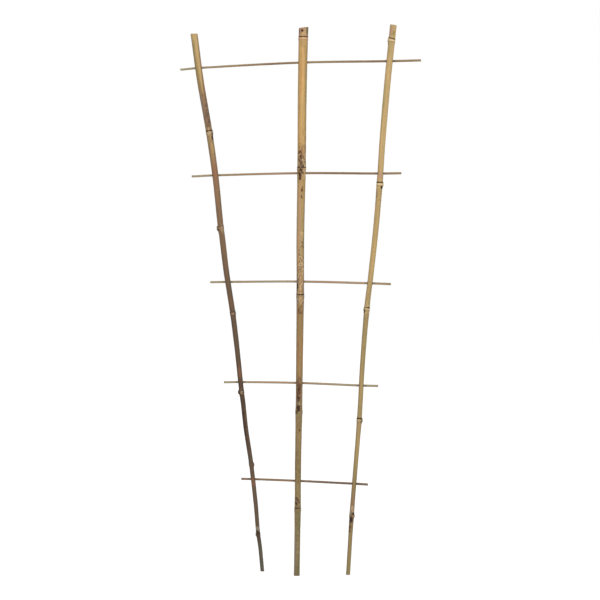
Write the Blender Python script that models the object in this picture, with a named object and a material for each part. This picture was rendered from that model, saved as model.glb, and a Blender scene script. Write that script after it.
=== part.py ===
"""Bamboo trellis for a pot or a border.

Three upright canes fan out towards the top, thick end up. Five thin rungs run across
them, each pushed through a hole drilled through every cane, with its ends sticking out.

Metres, +Z up, seen from -Y. X = 0 is midway between the ends of the top rung, Y = 0 is
the plane of the trellis, and Z = 0 is the foot of the middle cane.
"""

import math
from typing import NamedTuple

import bmesh
import bpy
from mathutils import Matrix, Vector

# Height of the middle cane, and where the side canes start and stop beside it
HEIGHT = 1.199
LEFT_TOP_BELOW_MIDDLE = 0.0135
RIGHT_TOP_ABOVE_MIDDLE = 0.006
LEFT_FOOT_RISE = 0.0096
RIGHT_FOOT_RISE = 0.002

# Spread of the fan: each cane's axis at its two ends, along X
LEFT_FOOT_X = -0.0836
LEFT_TOP_X = -0.2328
MIDDLE_FOOT_X = -0.0084
MIDDLE_TOP_X = 0.0068
RIGHT_FOOT_X = 0.1037
RIGHT_TOP_X = 0.2030

# Thickness of each cane between its rings, thin at the foot and thick at the top
LEFT_FOOT_WIDTH = 0.0083
LEFT_TOP_WIDTH = 0.0156
MIDDLE_FOOT_WIDTH = 0.0128
MIDDLE_TOP_WIDTH = 0.0208
RIGHT_FOOT_WIDTH = 0.0090
RIGHT_TOP_WIDTH = 0.0148

# How the thickening is spread along each cane: 1 is even, more keeps the lower part thin
LEFT_TAPER = 0.95
MIDDLE_TAPER = 1.3
RIGHT_TAPER = 1.15

# Hollow of each cane where the saw opens it
LEFT_FOOT_BORE = 0.0020
LEFT_TOP_BORE = 0.0080
MIDDLE_FOOT_BORE = 0.0040
MIDDLE_TOP_BORE = 0.0115
RIGHT_FOOT_BORE = 0.0024
RIGHT_TOP_BORE = 0.0072
DEEPEST_BORE = 0.045
RING_WALL = 0.003

# Rise of each saw cut at the top, in metres per metre to the right
LEFT_TOP_SLOPE = 0.0
MIDDLE_TOP_SLOPE = 0.12
RIGHT_TOP_SLOPE = -0.16

# The ring at each bamboo node: a thin sheath scar, and a softer ridge on its lower side
SCAR_RISE = 0.0009
RIDGE_RISE = 0.0007
SCAR_HALF_HEIGHT = 0.0013
SCAR_EDGE_RISE = 0.0003
RIDGE_BELOW_SCAR = 0.0042
RING_FADE = 0.0055

# Bud on a ring, as shares of the cane's width there, because a thin cane has small buds
BUD_LENGTH = 0.46
BUD_WIDTH = 0.30
BUD_RISE = 0.11

# Rungs: heights on the middle cane, thickness, and the play in the drilled holes
TOP_RUNG_BELOW_TOP = 0.0759
BOTTOM_RUNG_HEIGHT = 0.2074
BAY_GROWTH = 0.0097
RUNG_WIDTH = 0.0049
RUNG_TAPER = 0.0004
HOLE_CLEARANCE = 0.0003

# Fineness of the round pieces
CANE_BEVEL_RESOLUTION = 6
RUNG_BEVEL_RESOLUTION = 2
BORE_SIDES = 12
POINTS_PER_INTERNODE = 3
POINTS_PER_BAY = 4
WELD_DISTANCE = 0.000001
SHARP_ANGLE = math.radians(40)

# Directions around a cane
RIGHT, BACK, LEFT, FRONT = 0, 90, 180, 270

# Each cane's rings from the foot up: height above the ground, the axis's drift along X
# and Y from the straight line between foot and top, and the side that the bud is on
LEFT_RINGS = (
    (0.0945, 0.0014, 0.0006, LEFT),
    (0.2470, 0.0054, 0.0012, RIGHT),
    (0.4062, 0.0046, -0.0004, LEFT),
    (0.5780, 0.0069, -0.0018, RIGHT),
    (0.7645, 0.0046, -0.0006, LEFT),
    (0.9732, 0.0056, 0.0014, RIGHT),
)
MIDDLE_RINGS = (
    (0.1480, 0.0002, -0.0006, FRONT),
    (0.3615, 0.0002, 0.0005, BACK),
    (0.6150, -0.0001, 0.0008, FRONT),
    (0.8930, -0.0008, -0.0010, BACK),
    (1.1787, -0.0006, 0.0, None),
)
RIGHT_RINGS = (
    (0.1352, -0.0027, -0.0010, RIGHT),
    (0.3442, -0.0034, -0.0018, RIGHT),
    (0.5868, -0.0068, 0.0004, LEFT),
    (0.8604, -0.0014, 0.0016, RIGHT),
    (1.1750, -0.0007, 0.0004, LEFT),
)

# The bows of the canes between rings, as height and drift along X and Y
LEFT_BOWS = (
    (0.060, 0.0019, 0.0004),
    (0.155, 0.0043, 0.0010),
    (0.320, 0.0036, 0.0006),
    (0.375, 0.0050, 0.0),
    (0.505, 0.0068, -0.0012),
    (0.665, 0.0045, -0.0014),
    (0.745, 0.0053, -0.0008),
    (0.870, 0.0071, 0.0006),
    (1.083, 0.0006, 0.0010),
)
MIDDLE_BOWS = (
    (0.250, -0.0003, 0.0),
    (0.500, 0.0, 0.0009),
    (0.740, -0.0016, 0.0002),
    (1.040, -0.0014, -0.0005),
)
RIGHT_BOWS = (
    (0.240, -0.0031, -0.0016),
    (0.465, -0.0065, -0.0008),
    (0.655, -0.0042, 0.0010),
    (0.765, -0.0013, 0.0014),
    (0.950, -0.0030, 0.0013),
    (1.080, -0.0027, 0.0008),
)

# Bamboo colours, as linear red, green and blue
AGED_BROWN = (0.20, 0.13, 0.08)
GOLDEN_TAN = (0.52, 0.34, 0.15)
STRAW = (0.50, 0.37, 0.17)
WEATHERED_TAN = (0.33, 0.24, 0.13)
CANE_ROUGHNESS = 0.45
RUNG_ROUGHNESS = 0.70


class Cane(NamedTuple):
    name: str
    foot: Vector
    top: Vector
    foot_width: float
    top_width: float
    taper: float
    foot_bore: float
    top_bore: float
    top_slope: float
    rings: tuple
    bows: tuple
    colour: tuple


class Rung(NamedTuple):
    """Off-height is how far above its even place it crosses the middle cane, and the rises
    are above that crossing."""

    name: str
    off_height: float
    left_overhang: float
    left_end_rise: float
    left_cane_rise: float
    right_cane_rise: float
    right_end_rise: float
    right_overhang: float


CANES = (
    Cane(
        "cane_left",
        Vector((LEFT_FOOT_X, 0, LEFT_FOOT_RISE)),
        Vector((LEFT_TOP_X, 0, HEIGHT - LEFT_TOP_BELOW_MIDDLE)),
        LEFT_FOOT_WIDTH,
        LEFT_TOP_WIDTH,
        LEFT_TAPER,
        LEFT_FOOT_BORE,
        LEFT_TOP_BORE,
        LEFT_TOP_SLOPE,
        LEFT_RINGS,
        LEFT_BOWS,
        AGED_BROWN,
    ),
    Cane(
        "cane_middle",
        Vector((MIDDLE_FOOT_X, 0, 0)),
        Vector((MIDDLE_TOP_X, 0, HEIGHT)),
        MIDDLE_FOOT_WIDTH,
        MIDDLE_TOP_WIDTH,
        MIDDLE_TAPER,
        MIDDLE_FOOT_BORE,
        MIDDLE_TOP_BORE,
        MIDDLE_TOP_SLOPE,
        MIDDLE_RINGS,
        MIDDLE_BOWS,
        GOLDEN_TAN,
    ),
    Cane(
        "cane_right",
        Vector((RIGHT_FOOT_X, 0, RIGHT_FOOT_RISE)),
        Vector((RIGHT_TOP_X, 0, HEIGHT + RIGHT_TOP_ABOVE_MIDDLE)),
        RIGHT_FOOT_WIDTH,
        RIGHT_TOP_WIDTH,
        RIGHT_TAPER,
        RIGHT_FOOT_BORE,
        RIGHT_TOP_BORE,
        RIGHT_TOP_SLOPE,
        RIGHT_RINGS,
        RIGHT_BOWS,
        STRAW,
    ),
)

# Rungs from the top one down, each a little out of level as it was drilled by eye
RUNGS = (
    Rung("rung_1", 0.0, 0.0399, -0.0158, -0.0118, 0.0031, 0.0048, 0.0690),
    Rung("rung_2", 0.0012, 0.0519, -0.0072, -0.0046, -0.0006, 0.0000, 0.0462),
    Rung("rung_3", -0.0022, 0.0387, -0.0015, -0.0008, -0.0038, -0.0055, 0.0462),
    Rung("rung_4", 0.0, 0.0368, 0.0014, 0.0020, -0.0056, -0.0065, 0.0372),
    Rung("rung_5", 0.0, 0.0262, 0.0044, 0.0038, -0.0061, -0.0079, 0.0302),
)


def clear_scene():
    for thing in list(bpy.data.objects):
        bpy.data.objects.remove(thing, do_unlink=True)


def new_collection(name, parent=None):
    collection = bpy.data.collections.new(name)
    (parent or bpy.context.scene.collection).children.link(collection)
    return collection


def bamboo(name, colour, roughness):
    material = bpy.data.materials.new(name)
    material.use_nodes = True
    shader = material.node_tree.nodes["Principled BSDF"]
    shader.inputs["Base Color"].default_value = (*colour, 1)
    shader.inputs["Roughness"].default_value = roughness
    shader.inputs["Metallic"].default_value = 0
    return material


def through(stations, place):
    """The value at a place on a smooth curve through stations of (place, value)."""
    last = len(stations) - 1
    end = next((i for i in range(1, last) if place < stations[i][0]), last)
    (place_a, a), (place_b, b) = stations[end - 1], stations[end]
    before, after = stations[max(end - 2, 0)], stations[min(end + 1, last)]
    run = place_b - place_a
    slope_a = (b - before[1]) * (run / (place_b - before[0]))
    slope_b = (after[1] - a) * (run / (after[0] - place_a))
    t = (place - place_a) / run
    ease = t * t * (3 - 2 * t)
    return a + (b - a) * ease + slope_a * (t * (1 - t) ** 2) - slope_b * (t * t * (1 - t))


def rings_on(cane):
    """The rings that the cane still has between its saw cuts."""
    room = RIDGE_BELOW_SCAR + RING_FADE
    return [ring for ring in cane.rings if cane.foot.z + room < ring[0] < cane.top.z - room]


def axis_at(cane, height):
    """Where the cane's axis is at a height."""
    bends = [(ring[0], Vector(ring[1:3])) for ring in rings_on(cane)]
    bends += [(bow[0], Vector(bow[1:3])) for bow in cane.bows if bow[0] < cane.top.z - DEEPEST_BORE]
    straight = Vector((0, 0))
    bends = [(cane.foot.z, straight), *sorted(bends, key=lambda bend: bend[0]), (cane.top.z, straight)]
    drift = through(bends, height)
    share = (height - cane.foot.z) / (cane.top.z - cane.foot.z)
    on_line = cane.foot.lerp(cane.top, share)
    return Vector((on_line.x + drift.x, on_line.y + drift.y, height))


def width_at(cane, height):
    """The cane's thickness at a height, its rings left out."""
    share = max((height - cane.foot.z) / (cane.top.z - cane.foot.z), 0)
    return cane.foot_width + share**cane.taper * (cane.top_width - cane.foot_width)


def cane_sections(cane):
    """(height, width) of each section that the cane's tube is drawn through."""
    spare = cane.top_width
    stops = [cane.foot.z - spare]
    sections = [(cane.foot.z - spare, 0)]
    for ring in rings_on(cane):
        scar = ring[0]
        profile = (
            (scar - RIDGE_BELOW_SCAR - RING_FADE, 0),
            (scar - RIDGE_BELOW_SCAR, RIDGE_RISE),
            (scar - SCAR_HALF_HEIGHT, SCAR_EDGE_RISE),
            (scar, SCAR_RISE),
            (scar + SCAR_HALF_HEIGHT, SCAR_EDGE_RISE),
            (scar + RING_FADE, 0),
        )
        sections += profile
        stops += [profile[0][0], profile[-1][0]]
    stops.append(cane.top.z + spare)
    sections.append((cane.top.z + spare, 0))
    for start, end in zip(stops[::2], stops[1::2]):
        step = (end - start) / (POINTS_PER_INTERNODE + 1)
        sections += [(start + step * (i + 1), 0) for i in range(POINTS_PER_INTERNODE)]
    return [(height, width_at(cane, height) + 2 * rise) for height, rise in sorted(sections)]


def tube(name, points, widths, bevel_resolution, origin):
    """A round tube as a curve object, with its own width at each point."""
    curve = bpy.data.curves.new(name, "CURVE")
    curve.dimensions = "3D"
    curve.bevel_depth = widths[0] / 2
    curve.bevel_resolution = bevel_resolution
    curve.use_fill_caps = True
    spline = curve.splines.new("POLY")
    spline.points.add(len(points) - 1)
    for corner, point, width in zip(spline.points, points, widths):
        corner.co = (*(point - origin), 1)
        corner.radius = width / widths[0]
    spline.use_smooth = True
    thing = bpy.data.objects.new(name, curve)
    thing.location = origin
    return thing


def as_mesh(thing, collection):
    """Turns a curve object into a closed mesh object of the same name in the collection."""
    name = thing.name
    bpy.context.scene.collection.objects.link(thing)
    bpy.context.view_layer.update()
    graph = bpy.context.evaluated_depsgraph_get()
    mesh = bpy.data.meshes.new_from_object(thing.evaluated_get(graph))
    matrix = thing.matrix_world.copy()
    bpy.data.objects.remove(thing, do_unlink=True)
    form = bmesh.new()
    form.from_mesh(mesh)
    bmesh.ops.remove_doubles(form, verts=form.verts, dist=WELD_DISTANCE)
    form.to_mesh(mesh)
    form.free()
    mesh.name = name
    solid = bpy.data.objects.new(name, mesh)
    solid.matrix_world = matrix
    collection.objects.link(solid)
    return solid


def saw(solid, point, normal):
    """Cuts off all that lies beyond the plane and closes the cut."""
    form = bmesh.new()
    form.from_mesh(solid.data)
    everything = [*form.verts, *form.edges, *form.faces]
    to_solid = solid.matrix_world.inverted()
    cut = bmesh.ops.bisect_plane(
        form,
        geom=everything,
        dist=WELD_DISTANCE,
        plane_co=to_solid @ point,
        plane_no=normal,
        clear_outer=True,
    )
    rim = [part for part in cut["geom_cut"] if isinstance(part, bmesh.types.BMEdge)]
    bmesh.ops.contextual_create(form, geom=rim)
    bmesh.ops.recalc_face_normals(form, faces=form.faces)
    form.to_mesh(solid.data)
    form.free()


def helper(name, form, collection, matrix):
    """A mesh that only cuts or joins, left out of renders."""
    mesh = bpy.data.meshes.new(name)
    form.to_mesh(mesh)
    form.free()
    thing = bpy.data.objects.new(name, mesh)
    thing.matrix_world = matrix
    thing.hide_render = True
    thing.display_type = "WIRE"
    collection.objects.link(thing)
    return thing


def facing(point, direction):
    """A matrix at a point, with Z along a direction."""
    return Matrix.Translation(point) @ direction.to_track_quat("Z", "Y").to_matrix().to_4x4()


def add_bud(cane, ring, buds):
    """The bud that sits on the ridge below the sheath scar."""
    height = ring[0] - RIDGE_BELOW_SCAR
    width = width_at(cane, height)
    turn = Matrix.Rotation(math.radians(ring[3]), 4, "Z")
    out = (width / 2 + RIDGE_RISE) * math.cos(math.pi / (4 + 2 * CANE_BEVEL_RESOLUTION))
    form = bmesh.new()
    bmesh.ops.create_icosphere(form, subdivisions=2, radius=1)
    size = Matrix.Diagonal((BUD_RISE * width, BUD_WIDTH * width / 2, BUD_LENGTH * width / 2, 1))
    bmesh.ops.transform(form, matrix=size, verts=form.verts)
    place = Matrix.Translation(axis_at(cane, height)) @ turn @ Matrix.Translation((out, 0, 0))
    helper(f"{cane.name}_bud", form, buds, place)


def add_bore(cane, end, inwards, width, depth, cutters):
    """The hollow that a saw cut opens, blind at its inner end."""
    form = bmesh.new()
    bmesh.ops.create_cone(
        form,
        cap_ends=True,
        segments=BORE_SIDES,
        radius1=width / 2,
        radius2=width / 2,
        depth=2 * depth,
    )
    helper(f"{cane.name}_bore", form, cutters, facing(end, inwards))


def bore_cane(cane, cutters):
    """Opens both ends of a cane, each as far as the wall inside its nearest ring."""
    rings = [ring[0] for ring in rings_on(cane)]
    lowest, highest = rings[0], rings[-1]
    ends = (
        (cane.foot.z, lowest - RIDGE_BELOW_SCAR, cane.foot_bore),
        (cane.top.z, highest, cane.top_bore),
    )
    for height, ring, width in ends:
        depth = min(abs(ring - height) - RING_WALL, DEEPEST_BORE)
        end = axis_at(cane, height)
        inside = axis_at(cane, height + math.copysign(depth, ring - height))
        add_bore(cane, end, (inside - end).normalized(), width, depth, cutters)


def add_boolean(solid, operation, collection):
    modifier = solid.modifiers.new(collection.name, "BOOLEAN")
    modifier.operation = operation
    modifier.operand_type = "COLLECTION"
    modifier.collection = collection
    modifier.solver = "EXACT"


def make_cane(cane, parts, helpers):
    """Draws, saws and buds one cane, and returns it with the collection that drills it."""
    sections = cane_sections(cane)
    points = [axis_at(cane, height) for height, _ in sections]
    widths = [width for _, width in sections]
    solid = as_mesh(tube(cane.name, points, widths, CANE_BEVEL_RESOLUTION, cane.foot), parts)
    saw(solid, cane.foot, Vector((0, 0, -1)))
    saw(solid, cane.top, Vector((-cane.top_slope, 0, 1)).normalized())
    solid.data.materials.append(bamboo(cane.name, cane.colour, CANE_ROUGHNESS))
    solid.data.shade_smooth()
    solid.data.set_sharp_from_angle(angle=SHARP_ANGLE)
    buds = new_collection(f"{cane.name}_buds", helpers)
    cutters = new_collection(f"{cane.name}_cutters", helpers)
    for ring in rings_on(cane):
        if ring[3] is not None:
            add_bud(cane, ring, buds)
    bore_cane(cane, cutters)
    add_boolean(solid, "UNION", buds)
    add_boolean(solid, "DIFFERENCE", cutters)
    return solid, cutters


def rung_heights():
    """Where the rungs cross the middle cane, from the top one down."""
    bays = len(RUNGS) - 1
    reach = HEIGHT - TOP_RUNG_BELOW_TOP - BOTTOM_RUNG_HEIGHT
    lowest_bay = (reach - BAY_GROWTH * bays * (bays - 1) / 2) / bays
    heights = [BOTTOM_RUNG_HEIGHT + lowest_bay * i + BAY_GROWTH * i * (i - 1) / 2 for i in range(bays + 1)]
    return [height + rung.off_height for height, rung in zip(reversed(heights), RUNGS)]


def rung_route(rung, height):
    """The rung's points from end to end, and which of them lie in the middle of a cane."""
    left, middle, right = CANES
    at_left = axis_at(left, height + rung.left_cane_rise)
    at_middle = axis_at(middle, height)
    at_right = axis_at(right, height + rung.right_cane_rise)
    left_end = Vector((at_left.x - rung.left_overhang, at_left.y, height + rung.left_end_rise))
    right_end = Vector((at_right.x + rung.right_overhang, at_right.y, height + rung.right_end_rise))
    stations = [(point.x, point) for point in (left_end, at_left, at_middle, at_right, right_end)]
    places = [left_end.x]
    for start, end in ((left_end, at_left), (at_left, at_middle), (at_middle, at_right), (at_right, right_end)):
        steps = POINTS_PER_BAY if start in (at_left, at_middle) else 1
        places += [start.x + (end.x - start.x) * (i + 1) / steps for i in range(steps)]
    crossings = (1, 1 + POINTS_PER_BAY, 1 + 2 * POINTS_PER_BAY)
    return [through(stations, place) for place in places], crossings


def make_rung(rung, height, parts, canes):
    """One rung, and the hole for it through each cane."""
    points, crossings = rung_route(rung, height)
    origin = points[crossings[1]]
    length = points[-1].x - points[0].x
    thinnest = RUNG_WIDTH - RUNG_TAPER / 2
    widths = [thinnest + RUNG_TAPER * (point.x - points[0].x) / length for point in points]
    stick = tube(rung.name, points, widths, RUNG_BEVEL_RESOLUTION, origin)
    stick.data.materials.append(bamboo(rung.name, WEATHERED_TAN, RUNG_ROUGHNESS))
    parts.objects.link(stick)
    holes = [width + 2 * HOLE_CLEARANCE for width in widths]
    for (_, cutters), crossing in zip(canes, crossings):
        name = f"{cutters.name}_{rung.name}"
        near = slice(crossing - 1, crossing + 2)
        drill = as_mesh(tube(name, points[near], holes[near], RUNG_BEVEL_RESOLUTION, origin), cutters)
        drill.hide_render = True
        drill.display_type = "WIRE"
    return stick


def main():
    clear_scene()
    parts = new_collection("bamboo_trellis")
    helpers = new_collection("bamboo_trellis_cutters")
    canes = [make_cane(cane, parts, helpers) for cane in CANES]
    rungs = [make_rung(rung, height, parts, canes) for rung, height in zip(RUNGS, rung_heights())]
    whole = bpy.data.objects.new("bamboo_trellis", None)
    parts.objects.link(whole)
    for piece in [solid for solid, _ in canes] + rungs:
        piece.parent = whole


main()
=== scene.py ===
"""Looks of the bamboo trellis: three weathered canes and the five rungs pushed through them.

Metres, +Z up, seen from -Y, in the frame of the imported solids. Each cane and rung is modelled
again over its solid: the axes are read from the solids, and the rings, saw cuts, drilled
holes, buds and the dressing of the skin are added here.
"""

import math
from typing import NamedTuple

import bmesh
import bpy
import numpy as np
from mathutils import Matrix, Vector


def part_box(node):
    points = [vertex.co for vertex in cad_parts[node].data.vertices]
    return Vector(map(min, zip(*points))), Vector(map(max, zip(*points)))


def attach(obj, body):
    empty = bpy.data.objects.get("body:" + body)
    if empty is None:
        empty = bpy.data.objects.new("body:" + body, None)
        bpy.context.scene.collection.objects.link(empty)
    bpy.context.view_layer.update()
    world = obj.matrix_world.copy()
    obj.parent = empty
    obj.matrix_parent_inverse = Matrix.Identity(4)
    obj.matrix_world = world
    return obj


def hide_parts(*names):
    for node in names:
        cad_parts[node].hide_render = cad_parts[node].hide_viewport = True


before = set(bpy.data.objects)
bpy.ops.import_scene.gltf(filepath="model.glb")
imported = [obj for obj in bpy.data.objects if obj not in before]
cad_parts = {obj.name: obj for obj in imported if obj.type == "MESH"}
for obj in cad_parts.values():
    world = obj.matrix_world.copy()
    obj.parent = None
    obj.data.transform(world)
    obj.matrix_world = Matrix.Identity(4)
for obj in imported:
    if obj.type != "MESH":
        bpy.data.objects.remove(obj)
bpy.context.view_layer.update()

MM = 0.001

# Material slots of a cane or rung, and directions around a cane, in degrees from +X
SKIN, END_GRAIN, HOLLOW = 0, 1, 2
RIGHT, BACK, LEFT, FRONT = 0, 90, 180, 270

# Fineness of the canes and rungs, how far inside its ends a solid's axis is read, and the
# least turn of a section and weight of a raised point that count
CANE_SIDES = 44
RUNG_SIDES = 16
HOLE_SIDES = 28
INTERNODE_STEP = 5.5 * MM
HOLE_STEP = 1.1 * MM
HOLE_ZONE = 5.5 * MM
RUNG_STEP = 6 * MM
SPARE_LENGTH = 14 * MM
AXIS_SAMPLE = 1 * MM
FOOT_INSET = 1 * MM
TOP_INSET = 2 * MM
RUNG_INSET = 1 * MM
SHARP_ANGLE = math.radians(38)
LEAST_TURN = 1e-5
LEAST_WEIGHT = 0.01

# The ring at a bamboo node, in millimetres: height above the sheath scar, and rise over the
# cane's radius
RING_PROFILE = (
    (-9.7, 0.0), (-8.2, 0.08), (-6.8, 0.34), (-5.5, 0.48), (-4.3, 0.55), (-3.2, 0.48),
    (-2.2, 0.40), (-1.5, 0.28), (-1.0, 0.34), (-0.6, 0.50), (-0.2, 0.58), (0.2, 0.54),
    (0.6, 0.26), (1.0, 0.06), (1.8, 0.12), (3.2, 0.14), (5.5, 0.0),
)
RING_FOOT, RING_HEAD = -9.7 * MM, 5.5 * MM
RING_CLEARANCE = 1 * MM
RIDGE_BELOW_SCAR = 4.3 * MM
SWOLLEN_RINGS = 4
SWELL_BELOW_SCAR = 6 * MM
SWELL_REACH = 24 * MM
TILT_REACH = 14 * MM
SCAR_HALF_WIDTH = 1.3 * MM
WORN_REACH = 4.5 * MM

# Distance from its scar at which a ring's tones start to fade, and a distance from any scar
# or hole at which nothing of it shows
RING_TONES_FADE = 10 * MM
OUT_OF_REACH = 20 * MM

# Pale band below the scar, the painted shadow line that ends it, and the wander of a ring's tones
BAND_MIDDLE = 3.6 * MM
BAND_CORE = 1.8 * MM
BAND_FOOT = 6.6 * MM
BAND_FOOT_HALF_WIDTH = 0.8 * MM
BAND_FOOT_BLUR = 0.3 * MM
SCAR_BLUR = 0.45 * MM
RING_TONES_WANDER = 1.8 * MM

# Lumps of the skin, and the scar's wander up and down round the cane
LUMP_SIZE = 16 * MM
LUMP_RISE = 0.32 * MM
LUMP_MIDDLE = 0.65
SCAR_WANDER = 1.1 * MM
SCAR_WANDER_SIZE = 7 * MM
SCAR_WANDER_REACH = 4 * MM

# Trimmed bud on a ring, as shares of the cane's width there, and its blunt top and its end
BUD_LENGTH = 0.34
BUD_WIDTH = 0.20
BUD_RISE = 0.14
BUD_BLUNTNESS = 1.6
BUD_END = 2.5

# Saw cuts and the hollow they open
CUT_CHAMFER = 0.35 * MM
CUT_TOLERANCE = 0.2 * MM
DEEPEST_BORE = 45 * MM
RING_WALL = 3 * MM
BORE_END = 1.2 * MM
BORE_END_WIDTH = 0.6

# Rungs, and the drill for their holes, its length in widths of the cane
RUNG_WIDTH = 4.9 * MM
RUNG_TAPER = 0.4 * MM
HOLE_CLEARANCE = 0.3 * MM
DRILL_LENGTH = 3
RUNG_CHAMFER = 0.3 * MM
RUNG_LUMP_SIZE = 11 * MM
RUNG_LUMP_RISE = 0.22 * MM
RUNG_LUMP_MIDDLE = 0.6
END_TRIM = 0.15 * MM

# Camera: level with the middle of the picture, far enough for the photograph's flat look
CAMERA_PLACE = (-0.0013, -6.0, 0.6032)
FRAME_WIDTH = 1.3128
SENSOR = 36.0

# Lamps: name, strength, softness in degrees, and the side that each shines from
LAMPS = (
    ("key", 2.2, 25, (0.12, -1.0, 0.45)),
    ("back", 0.6, 60, (-0.4, 1.0, 0.8)),
)
ROOM_LIGHT = 0.28
FLOOR_SIZE = 60
FLOOR_GLOW_SHARE = 0.6
FLOOR_GLOW = 1.35

# How far up and down a noise moves the tones, and the darkening round a hole and on a rung
# beside a cane: how far from the middle it starts, and where it is full
TONE_WANDER = 30 * MM
HOLE_DARKENING = (4.6 * MM, 2.9 * MM)
RUNG_DARKENING = (15 * MM, 7 * MM)

# Nearly all of a noise lies between these
NOISE_LOW, NOISE_HIGH = 0.28, 0.72

# A soft patch ends at this share of its reach, and one shorter than this has a crisper edge
PATCH_EDGE = 1.2
SOFT_PATCH = 16 * MM

# What grit does to a patch: its even core, as a share of its reach, the share of its slope that
# the specks take over, how much crisper its edge gets, and how far the edge moves inwards
GRIT_CORE = 0.45
GRIT_SLOPE = 0.25
GRIT_CRISPNESS = 0.8
GRIT_SHIFT = 0.55

# Steps between the noises of one cane or rung and the next
CANE_SEED_STEP = 11.0
RUNG_SEED_STEP = 17.0

# Room between the strips that the skin is laid out in, before and after they are packed, and
# the angle up to which faces of a cut are laid out together
STRIP_ROOM = 0.1
STRIP_MARGIN = 0.005
CUT_FACES_ANGLE = math.radians(66)

# Bamboo tones, as seen on the skin
CREAM = "#DDBE90"
STRAW = "#C2A674"
SAND = "#B99E6C"
HAY = "#A28C60"
HONEY = "#C7A26A"
OCHRE = "#B2925F"
FAWN = "#A28760"
TAN = "#9C7C54"
KHAKI = "#907C55"
OLIVE = "#8A7A53"
LICHEN = "#8C8048"
DAMP = "#706747"
ROSE = "#B39070"
RUSSET = "#8E5E42"
# Dove grey: grey weathering, and along the canes' edges a painted reflection of the white room
DOVE = "#8A7B6C"
UMBER = "#8C6F54"
MOCHA = "#796048"
BARK = "#604E3D"
PEAT = "#4E3C2E"
ASH = "#8F8572"
MOSS = "#4E4C40"
RUST = "#57371F"
CLOVE = "#3E2616"
AMBER = "#C8894F"
WINE = "#5E3E2E"
SOOT = "#2A1B12"

# Tones of the split sticks
STICK_TAN = "#9E8766"
STICK_GREY = "#A0947A"
STICK_SAND = "#A69074"
STICK_ROSE = "#A4866E"
STICK_BROWN = "#8A7056"
STICK_DARK = "#786254"


class Ring(NamedTuple):
    """Height of the scar, side and fullness of the bud, the scar's rise to the right, how
    strongly the dark scar and the pale band below it are drawn, and the side where they are
    worn away."""

    height: float
    bud: int
    fullness: float
    tilt: float
    scar: float
    band: float
    worn: int | None = None


class Cane(NamedTuple):
    """A cane's sizes and looks. The taper is the power that its width grows with, the slope is
    the top cut's rise to the right, and the bows are heights where its axis is read, as it is
    at the rings. The tones go up the cane by height. A row of mildew is a middle height, the
    reach up and down, and how thickly specks crowd there. Weathering is the strength of the
    dark blotches, and node swell the extra thickness round the lower rings.

    A row of patches or of the finer flecks has its lengths in millimetres: height, side, reach
    along and round the cane, tone, strength, and grit, which is how far the patch breaks up
    into specks, from 0, soft, to 1."""

    node: str
    slot: str
    foot_width: float
    top_width: float
    taper: float
    foot_bore: float
    top_bore: float
    top_slope: float
    rings: tuple
    bows: tuple
    tones: tuple
    band_tone: str
    patches: tuple
    flecks: tuple
    mildew: tuple
    weathering: float
    node_swell: float


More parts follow.
